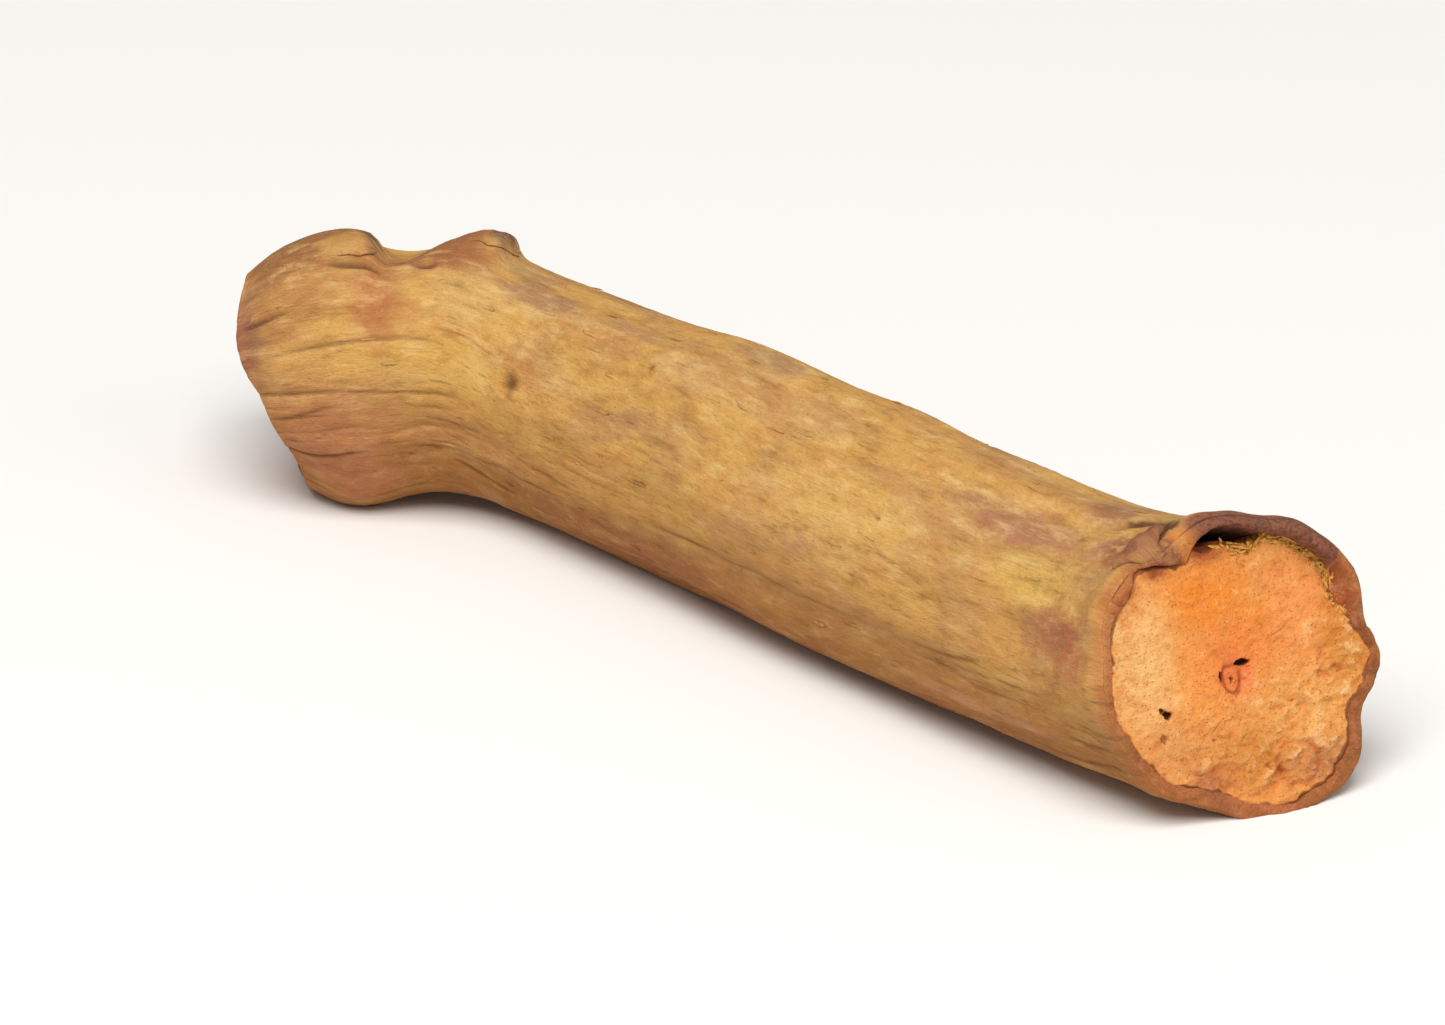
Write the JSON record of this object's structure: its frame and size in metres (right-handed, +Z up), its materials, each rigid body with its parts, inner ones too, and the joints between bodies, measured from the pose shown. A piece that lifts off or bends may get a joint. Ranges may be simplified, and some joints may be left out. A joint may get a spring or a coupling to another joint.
{
  "type": "indian madder root",
  "caption": "Short stick of dried madder root lying on its side: furrowed ochre bark, a slanting knife cut through orange wood, and a bent, swollen joint snapped off at the other end.",
  "frame": {"origin": "on the surface it lies on, under the middle of the stick's box", "axes": "+X along the stick towards the knife cut, +Z up, -Y towards the side that the snapped joint bends to"},
  "size_m": [0.0524, 0.015, 0.0112],
  "materials": {
    "bark": "dry, dull ochre-brown bark with mauve patches",
    "cut_wood": "raw, dull orange wood at the cut and snapped ends"
  },
  "bodies": {
    "root": {"madder_root": "bark"}
  },
  "joints": []
}
